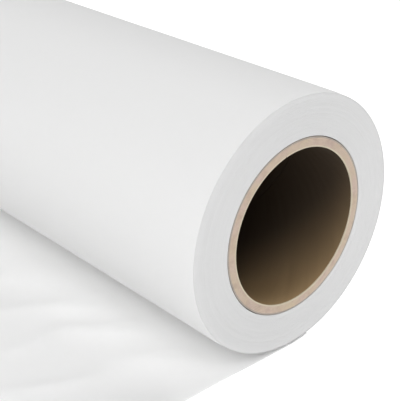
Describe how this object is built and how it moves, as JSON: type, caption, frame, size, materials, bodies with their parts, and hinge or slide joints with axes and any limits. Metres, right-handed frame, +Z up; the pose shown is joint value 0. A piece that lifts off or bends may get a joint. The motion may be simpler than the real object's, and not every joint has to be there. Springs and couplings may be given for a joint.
{
  "type": "backdrop paper roll",
  "caption": "Roll of seamless backdrop paper on a spiral-wound paperboard core, lying on the floor with a loose length pulled off. Rolling it along winds the loose sheet up.",
  "frame": {"origin": "on the floor, below the middle of the whole object's box", "axes": "+X along the roll, +Y from the loose sheet's free edge towards the roll, +Z up"},
  "size_m": [1.35, 0.6471, 0.0945],
  "materials": {
    "paper": "matte",
    "core_board": "matte",
    "liner_board": "matte",
    "tape": "matte"
  },
  "bodies": {
    "sheet": {"free_sheet": "paper"},
    "nip": {"sheet_nip": "paper"},
    "roll": {"core_inner_liner": "liner_board", "core_ply_1": "core_board", "core_ply_2": "core_board", "core_ply_3": "core_board", "core_ply_4": "core_board", "core_ply_5": "core_board", "core_outer_liner": "core_board", "start_tape_left": "tape", "start_tape_middle": "tape", "start_tape_right": "tape", "wound_paper": "paper", "outer_turn": "paper"}
  },
  "joints": [
    {"name": "roll_travel", "type": "slide", "parent": "sheet", "child": "nip", "axis": [0, -1, 0], "range_m": [0, 0.45], "deforming": ["free_sheet"]},
    {"name": "roll_turn", "type": "hinge", "parent": "nip", "child": "roll", "pos_m": [0, 0.2764, 0.0475], "axis": [1, 0, 0], "range_deg": [0, 543]}
  ],
  "couplings": [
    {"joint": "roll_turn", "follows": "roll_travel", "rad_per_m": 21.053}
  ]
}
